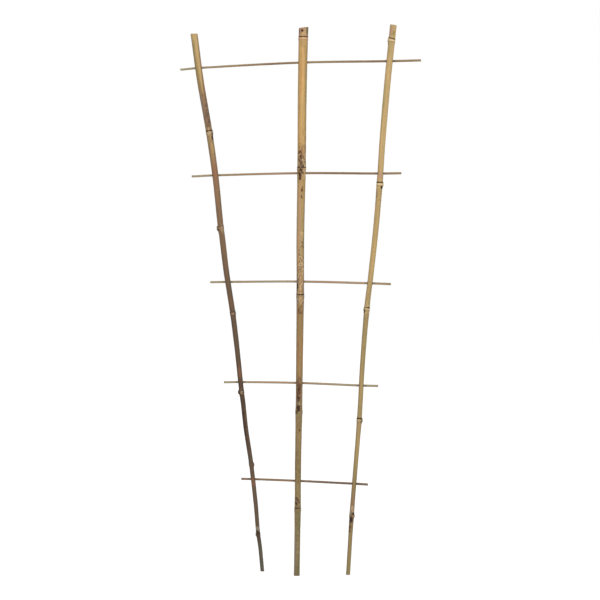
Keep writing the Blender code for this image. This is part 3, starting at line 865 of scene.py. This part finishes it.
def make_rung(node, skin, end_grain):
    """One rung: a slightly bent, lumpy stick with its ends' edges taken off."""
    route, meets = ROUTES[node]
    widths = [rung_width(node, point.x) for point in route]
    tilts = [0] * len(route)
    along_x = (0, math.pi / 2, 0)
    piece = start_piece(f"{node}_stick", RUNG_SIDES, route, widths, tilts, along_x)
    for material in (skin, end_grain):
        piece.data.materials.append(material)
    everywhere = np.ones(len(piece.data.vertices))
    lumps = clouds("rung lumps", RUNG_LUMP_SIZE)
    swell(piece, "lumps", everywhere, RUNG_LUMP_RISE, lumps, mid=RUNG_LUMP_MIDDLE)
    bpy.ops.object.mode_set(mode="EDIT")
    for side in (-1, 1):
        outward = Vector((side, 0, 0))
        pick(piece, lambda face: len(face.verts) == RUNG_SIDES and face.normal.x * side > 0)
        piece.active_material_index = END_GRAIN
        bpy.ops.object.material_slot_assign()
        bpy.ops.transform.translate(value=-outward * RUNG_CHAMFER)
        bpy.ops.mesh.inset(thickness=RUNG_CHAMFER)
        bpy.ops.transform.translate(value=outward * RUNG_CHAMFER)
    bpy.ops.object.mode_set(mode="OBJECT")
    bpy.ops.object.select_all(action="DESELECT")
    piece.select_set(True)
    bpy.ops.object.shade_smooth_by_angle(angle=SHARP_ANGLE)
    points = corners(piece)
    line = np.array(route)
    middle = np.stack([np.interp(points[:, 0], line[:, 0], line[:, i]) for i in (1, 2)], 1)
    offset = points[:, 1:] - middle
    note(piece, "grain", np.concatenate([offset, points[:, :1]], 1))
    note(piece, "rim", np.hypot(*offset.T) / (RUNG_WIDTH / 2))
    note(piece, "hole", np.abs(points[:, :1] - np.array([[meet.x for meet in meets]])).min(1))
    lay_out(piece)
    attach(piece, "root")
    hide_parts(node)


def lay_out(piece):
    """Lays the skin out flat in true size, in strips that part at the back, beside the cuts."""
    read = np.empty(len(piece.data.vertices) * 3, np.float32)
    piece.data.attributes["grain"].data.foreach_get("vector", read)
    across, deep, along = read.reshape(-1, 3).astype(float).T
    angle = np.arctan2(deep, across) - math.radians(BACK)
    bpy.context.view_layer.objects.active = piece
    layers = piece.data.uv_layers
    layers.remove(layers.active)
    layers.active = layers.new(name="OFBake")
    bpy.ops.object.mode_set(mode="EDIT")
    pick(piece, lambda face: face.material_index != SKIN)
    bpy.ops.uv.smart_project(angle_limit=CUT_FACES_ANGLE, island_margin=0.0)
    form = bmesh.from_edit_mesh(piece.data)
    layer = form.loops.layers.uv.active
    start, length = along.min(), np.ptp(along)
    girth = 2 * math.pi * np.hypot(across, deep).mean()
    strip_length = length / round(math.sqrt(length / girth))
    for face in form.faces:
        face.select_set(True)
        if face.material_index != SKIN:
            continue
        points = [vertex.index for vertex in face.verts]
        strip = math.floor((along[points].mean() - start) / strip_length)
        ahead = math.atan2(np.sin(angle[points]).mean(), np.cos(angle[points]).mean())
        for loop in face.loops:
            i = loop.vert.index
            turn = ahead + math.remainder(angle[i] - ahead, 2 * math.pi)
            reach = turn * math.hypot(across[i], deep[i])
            above = along[i] - start - strip * strip_length
            loop[layer].uv = (reach + strip * STRIP_ROOM, above)
    bmesh.update_edit_mesh(piece.data)
    bpy.ops.uv.select_all(action="SELECT")
    bpy.ops.uv.average_islands_scale()
    bpy.ops.uv.pack_islands(rotate=False, margin=STRIP_MARGIN)
    bpy.ops.object.mode_set(mode="OBJECT")


def new_material(name, roughness, shine=0.2):
    """A material, its nodes and its shader, and the grain: places across, through and along."""
    material = bpy.data.materials.new(name)
    material.use_nodes = True
    tree = material.node_tree
    shader = tree.nodes["Principled BSDF"]
    shader.inputs["Roughness"].default_value = roughness
    shader.inputs["Specular IOR Level"].default_value = shine
    grain = add(tree, "Attribute", attribute_name="grain").outputs["Vector"]
    return material, tree, shader, grain


def surface(tree, shader, colour, relief, strength, depth):
    """Gives a shader its colour and the fine relief on it."""
    bump = add(tree, "Bump", {"Height": relief, "Strength": strength, "Distance": depth})
    tree.links.new(result(colour), shader.inputs["Base Color"])
    tree.links.new(result(bump), shader.inputs["Normal"])


def fibrous(tree, grain, width, length, seed, detail=3.0):
    """A noise drawn out along the fibres, its patches of a real width and length."""
    scale = (1 / width, 1 / width, 1 / length)
    shift = (seed, 2 * seed, 3 * seed)
    at = add(tree, "Mapping", {"Vector": grain, "Scale": scale, "Location": shift})
    return add(tree, "TexNoise", {"Vector": at, "Scale": 1.0, "Detail": detail})


def streaked(tree, colour, noise, dark, light):
    """Multiplies a colour by amounts that go from dark to light with a noise."""
    tint = {"Vector": noise, "To Min": dark, "To Max": light}
    tint.update({"From Min": (NOISE_LOW,) * 3, "From Max": (NOISE_HIGH,) * 3})
    kind = {"data_type": "FLOAT_VECTOR", "interpolation_type": "SMOOTHSTEP"}
    tint = add(tree, "MapRange", tint, **kind)
    return add(tree, "VectorMath", {0: colour, 1: tint}, operation="MULTIPLY")


def laid_over(tree, colour, tone, value, none_at, full_at, strength=1.0):
    """Lays a tone over a colour, growing from none to full strength between two values."""
    amount = {"Value": value, "From Min": none_at, "From Max": full_at, "To Max": strength}
    amount = add(tree, "MapRange", amount, interpolation_type="SMOOTHSTEP")
    return add(tree, "Mix", {"Factor": amount, "A": colour, "B": linear(tone)}, data_type="RGBA")


def patched(tree, colour, grain, specks, cane, patch):
    """Lays one patch over the colour, broken into specks as far as its grit says."""
    height, side, along, across, tone, strength, grit = patch
    height, along, across = height * MM, along * MM, across * MM
    radius, side = cane_width(cane, height) / 2, math.radians(side)
    centre = (radius * math.cos(side), radius * math.sin(side), height)
    place = {"Vector": grain, "Location": centre, "Scale": (across, across, along)}
    at = add(tree, "Mapping", place, vector_type="TEXTURE")
    far = add(tree, "VectorMath", {0: at}, operation="LENGTH")
    far = add(tree, "Math", {0: far, 1: GRIT_CORE * grit}, operation="MAXIMUM")
    slope = 1 - GRIT_SLOPE * grit
    torn = add(tree, "Math", {0: specks, 1: -grit / slope, 2: far}, operation="MULTIPLY_ADD")
    soft = 0.5 * (1 - GRIT_CRISPNESS * grit) * min(along / SOFT_PATCH, 1)
    middle = 0.5 + GRIT_SHIFT * grit
    none_at, full_at = [PATCH_EDGE - (middle + half) / slope for half in (-soft, soft)]
    return laid_over(tree, colour, tone, torn, none_at, full_at, strength)


def distance(tree, place, centre):
    """How far a place along a piece is from a centre."""
    gap = add(tree, "Math", {0: place, 1: centre}, operation="SUBTRACT")
    return add(tree, "Math", {0: gap}, operation="ABSOLUTE")


def ringed(tree, colour, mottle, cane):
    """The pale waxy band under each ring's ridge, and the dark scar that its sheath left."""
    ring = add(tree, "Attribute", attribute_name="ring").outputs["Vector"]
    above, scar, band = add(tree, "SeparateXYZ", {0: ring}).outputs
    wander = {0: mottle, 1: RING_TONES_WANDER, 2: above}
    above = add(tree, "Math", wander, operation="MULTIPLY_ADD")
    above = add(tree, "Math", {0: above, 1: RING_TONES_WANDER / 2}, operation="SUBTRACT")
    away = distance(tree, above, -BAND_MIDDLE)
    inside = {"Value": away, "From Min": BAND_MIDDLE, "From Max": BAND_CORE}
    inside = add(tree, "MapRange", inside, interpolation_type="SMOOTHSTEP")
    pale = add(tree, "Math", {0: inside, 1: band}, operation="MULTIPLY")
    colour = laid_over(tree, colour, cane.band_tone, pale, 0.0, 1.0)
    # A thin line of painted shadow at the band's foot, under the ridge, then the dark scar
    for tone, below, share, half_width, blur, strength in (
        (BARK, BAND_FOOT, band, BAND_FOOT_HALF_WIDTH, BAND_FOOT_BLUR, 0.5),
        (SOOT, 0.0, scar, SCAR_HALF_WIDTH, SCAR_BLUR, 0.93),
    ):
        reach = add(tree, "Math", {0: share, 1: half_width}, operation="MULTIPLY")
        away = distance(tree, above, -below)
        inside = add(tree, "Math", {0: reach, 1: away}, operation="SUBTRACT")
        colour = laid_over(tree, colour, tone, inside, -blur, blur, strength)
    return colour


def culm_skin(cane, seed):
    """Bamboo culm skin, dried and weathered: satin, streaked lengthwise by its fibres, darker
    and mottled with mildew where damp stood, with a dark scar and a pale waxy band at each ring."""
    material, tree, shader, grain = new_material(f"{cane.slot.replace('_', ' ')} skin", 0.55)
    low, high, _ = AXES[cane.node]
    height = add(tree, "SeparateXYZ", {0: grain}).outputs["Z"]
    # Widths and lengths of fibre bundles, streaks, blotches and mildew specks
    fibres = fibrous(tree, grain, 0.5 * MM, 45 * MM, seed + 1)
    streaks = fibrous(tree, grain, 3 * MM, 90 * MM, seed + 2)
    blotches = fibrous(tree, grain, 6 * MM, 22 * MM, seed + 3, 5.0)
    mottle = fibrous(tree, grain, 1.6 * MM, 3.4 * MM, seed + 4, 4.0)
    height = add(tree, "Math", {0: blotches, 1: TONE_WANDER, 2: height}, operation="MULTIPLY_ADD")
    ends = {"From Min": low + TONE_WANDER / 2, "From Max": high + TONE_WANDER / 2}
    share = add(tree, "MapRange", {"Value": height, **ends})
    stops = [((place - low) / (high - low), tone) for place, tone in cane.tones]
    colour = add(tree, "ValToRGB", {"Fac": share}, stops=stops)
    colour = streaked(tree, colour, streaks, (0.80, 0.86, 0.84), (1.15, 1.06, 1.02))
    colour = streaked(tree, colour, fibres, (0.88, 0.88, 0.86), (1.09, 1.08, 1.07))
    colour = laid_over(tree, colour, BARK, blotches, 0.52, 0.74, cane.weathering)
    crowded = mottle
    for middle, reach, thickness in cane.mildew:
        away = distance(tree, height, middle)
        lift = {"Value": away, "From Min": reach, "From Max": 0.0, "To Max": thickness}
        crowded = add(tree, "Math", {0: crowded, 1: add(tree, "MapRange", lift)}, operation="ADD")
    colour = laid_over(tree, colour, BARK, crowded, 0.63, 0.70, 0.75)
    coarse = fibrous(tree, grain, 4.6 * MM, 6.0 * MM, seed + 5, 4.0)
    fine = fibrous(tree, grain, 2.8 * MM, 3.8 * MM, seed + 6, 5.0)
    # Patches and flecks of the skin; a few along the edges are painted reflection and painted shade
    for patches, specks in ((cane.patches, coarse), (cane.flecks, fine)):
        specks = add(tree, "MapRange", {"Value": specks, "From Min": 0.36, "From Max": 0.64})
        for patch in patches:
            colour = patched(tree, colour, grain, specks, cane, patch)
    colour = ringed(tree, colour, mottle, cane)
    hole = add(tree, "Attribute", attribute_name="hole").outputs["Fac"]
    # Darker round each drilled hole
    colour = laid_over(tree, colour, PEAT, hole, *HOLE_DARKENING, 0.75)
    rough = {"Value": blotches, "From Min": 0.3, "From Max": 0.7, "To Min": 0.48, "To Max": 0.66}
    tree.links.new(result(add(tree, "MapRange", rough)), shader.inputs["Roughness"])
    relief = add(tree, "Math", {0: fibres, 1: mottle}, operation="ADD")
    surface(tree, shader, colour, relief, 0.4, 0.14 * MM)
    return material


def stick_skin(node, seed):
    """Split bamboo, silvered out of doors: matt, with long coarse fibres and grey ends, and
    darker where it leaves the canes."""
    name = f"weathered bamboo stick {node[-1]}"
    material, tree, shader, grain = new_material(name, 0.7)
    low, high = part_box(node)
    along = add(tree, "SeparateXYZ", {0: grain}).outputs["Z"]
    fibres = fibrous(tree, grain, 0.4 * MM, 30 * MM, seed + 1, 4.0)
    streaks = fibrous(tree, grain, 1.5 * MM, 55 * MM, seed + 2)
    mottle = fibrous(tree, grain, 1.2 * MM, 5 * MM, seed + 3, 4.0)
    along = add(tree, "Math", {0: streaks, 1: TONE_WANDER, 2: along}, operation="MULTIPLY_ADD")
    ends = {"From Min": low.x + TONE_WANDER / 2, "From Max": high.x + TONE_WANDER / 2}
    share = add(tree, "MapRange", {"Value": along, **ends})
    tones = RUNG_TONES[node]
    stops = [(index / (len(tones) - 1), tone) for index, tone in enumerate(tones)]
    colour = add(tree, "ValToRGB", {"Fac": share}, stops=stops)
    colour = streaked(tree, colour, fibres, (0.80, 0.80, 0.78), (1.13, 1.12, 1.10))
    colour = streaked(tree, colour, streaks, (0.82, 0.88, 0.86), (1.14, 1.06, 1.00))
    colour = laid_over(tree, colour, PEAT, mottle, 0.58, 0.74, 0.6)
    cane_gap = add(tree, "Attribute", attribute_name="hole").outputs["Fac"]
    # Darker where the rung leaves a cane
    colour = laid_over(tree, colour, PEAT, cane_gap, *RUNG_DARKENING, 0.5)
    relief = add(tree, "Math", {0: fibres, 1: mottle}, operation="ADD")
    surface(tree, shader, colour, relief, 0.6, 0.2 * MM)
    return material


def sawn_end():
    """Sawn bamboo end grain: matt and pale, peppered with the dark ends of its fibre bundles,
    which crowd towards the skin, and dulled by saw marks and dirt."""
    material, tree, shader, grain = new_material("sawn bamboo end grain", 0.85)
    rim = add(tree, "Attribute", attribute_name="rim").outputs["Fac"]
    # Bundles 0.55 mm apart, drawn coarser than they are, and saw marks 0.5 mm wide, 20 mm long
    spacing, stroke = (1 / (0.55 * MM), 1 / (0.55 * MM), 0), (1 / (0.5 * MM), 1 / (20 * MM), 0)
    at = add(tree, "Mapping", {"Vector": grain, "Scale": spacing})
    bundles = add(tree, "TexVoronoi", {"Vector": at, "Scale": 1.0})
    crowded = add(tree, "Math", {0: rim, 1: -0.22, 2: bundles}, operation="MULTIPLY_ADD")
    across = add(tree, "Mapping", {"Vector": grain, "Rotation": (0, 0, 0.5), "Scale": stroke})
    marks = add(tree, "TexNoise", {"Vector": across, "Scale": 1.0, "Detail": 2.0})
    dirt = add(tree, "TexNoise", {"Vector": grain, "Scale": 1 / (5 * MM), "Detail": 4.0})
    stops = ((0.0, "#C8AA7E"), (0.7, "#B8966A"), (1.0, "#8A6A48"))
    colour = add(tree, "ValToRGB", {"Fac": rim}, stops=stops)
    colour = streaked(tree, colour, marks, (0.84, 0.85, 0.86), (1.07, 1.06, 1.05))
    colour = laid_over(tree, colour, BARK, crowded, 0.22, 0.05, 0.85)
    colour = laid_over(tree, colour, ASH, dirt, 0.45, 0.7, 0.7)
    surface(tree, shader, colour, marks, 0.5, 0.2 * MM)
    return material


def pith_lining():
    """Lining of a cane's hollow: papery dry pith, straw-brown at the mouth, darker deeper in."""
    material, tree, shader, grain = new_material("dry pith lining", 0.9, 0.1)
    depth = add(tree, "Attribute", attribute_name="depth").outputs["Fac"]
    flakes = fibrous(tree, grain, 1.2 * MM, 6 * MM, 5.0, 4.0)
    colour = add(tree, "ValToRGB", {"Fac": flakes}, stops=((0.3, "#8C6C48"), (0.7, "#B2946A")))
    # Darker with depth down the hollow
    colour = laid_over(tree, colour, SOOT, depth, 1 * MM, 26 * MM, 0.85)
    surface(tree, shader, colour, flakes, 0.5, 0.3 * MM)
    return material


def torn_fibre():
    """Wall of a drilled hole: torn bamboo fibres, pale where fresh, dark where dirt is packed."""
    material, tree, shader, grain = new_material("drilled bamboo", 0.9, 0.1)
    tears = fibrous(tree, grain, 0.5 * MM, 2.5 * MM, 9.0, 4.0)
    colour = add(tree, "ValToRGB", {"Fac": tears}, stops=((0.35, "#3A281B"), (0.7, "#8E6E4A")))
    surface(tree, shader, colour, tears, 0.7, 0.3 * MM)
    return material


def make_camera():
    """A level camera in front of the trellis."""
    data = bpy.data.cameras.new("camera")
    camera = bpy.data.objects.new("camera", data)
    bpy.context.scene.collection.objects.link(camera)
    camera.location = CAMERA_PLACE
    camera.rotation_euler = (math.pi / 2, 0, 0)
    data.sensor_width = SENSOR
    data.lens = SENSOR * abs(CAMERA_PLACE[1]) / FRAME_WIDTH
    bpy.context.scene.camera = camera


def seen_directly(tree):
    """1 for what the camera sees, straight, mirrored or through glass, and 0 for other light."""
    path = add(tree, "LightPath").outputs
    seen = {0: path["Is Camera Ray"], 1: path["Is Glossy Ray"]}
    seen = {0: add(tree, "Math", seen, operation="MAXIMUM"), 1: path["Is Transmission Ray"]}
    return add(tree, "Math", seen, operation="MAXIMUM")


def make_lights():
    """Two soft lamps, and a room that is dim but looks white."""
    for name, strength, softness, side in LAMPS:
        light = bpy.data.lights.new(name, "SUN")
        light.energy = strength
        light.angle = math.radians(softness)
        lamp = bpy.data.objects.new(name, light)
        bpy.context.scene.collection.objects.link(lamp)
        lamp.rotation_euler = Vector(side).to_track_quat("Z", "Y").to_euler()
    world = bpy.data.worlds.new("studio")
    world.use_nodes = True
    tree = world.node_tree
    tree.nodes.clear()
    dim = add(tree, "Background", {"Color": (1, 1, 1, 1), "Strength": ROOM_LIGHT})
    white = add(tree, "Background", {"Color": (1, 1, 1, 1), "Strength": 1.0})
    mix = add(tree, "MixShader", {0: seen_directly(tree), 1: dim, 2: white})
    add(tree, "OutputWorld", {"Surface": mix})
    bpy.context.scene.world = world


def make_floor():
    """A pale floor that keeps the shadow and glows a little where it is seen."""
    bpy.ops.object.select_all(action="DESELECT")
    bpy.ops.mesh.primitive_grid_add(x_subdivisions=2, y_subdivisions=2, size=FLOOR_SIZE)
    floor = bpy.context.object
    floor.name = "floor"
    material = bpy.data.materials.new("pale floor")
    material.use_nodes = True
    tree = material.node_tree
    shader = tree.nodes["Principled BSDF"]
    shader.inputs["Base Color"].default_value = (0.9, 0.9, 0.9, 1)
    shader.inputs["Roughness"].default_value = 0.9
    share = {0: seen_directly(tree), 1: FLOOR_GLOW_SHARE}
    share = add(tree, "Math", share, operation="MULTIPLY")
    glow = add(tree, "Emission", {"Color": (1, 1, 1, 1), "Strength": FLOOR_GLOW})
    mix = add(tree, "MixShader", {0: share, 1: shader, 2: glow})
    tree.links.new(result(mix), tree.nodes["Material Output"].inputs["Surface"])
    floor.data.materials.append(material)


def main():
    bpy.context.scene.view_settings.view_transform = "Standard"
    make_camera()
    end_grain, hollow, drilled = sawn_end(), pith_lining(), torn_fibre()
    for number, cane in enumerate(CANES):
        make_cane(cane, culm_skin(cane, number * CANE_SEED_STEP), end_grain, hollow, drilled)
    for number, node in enumerate(RUNG_NODES):
        make_rung(node, stick_skin(node, number * RUNG_SEED_STEP), end_grain)
    make_lights()
    make_floor()


main()
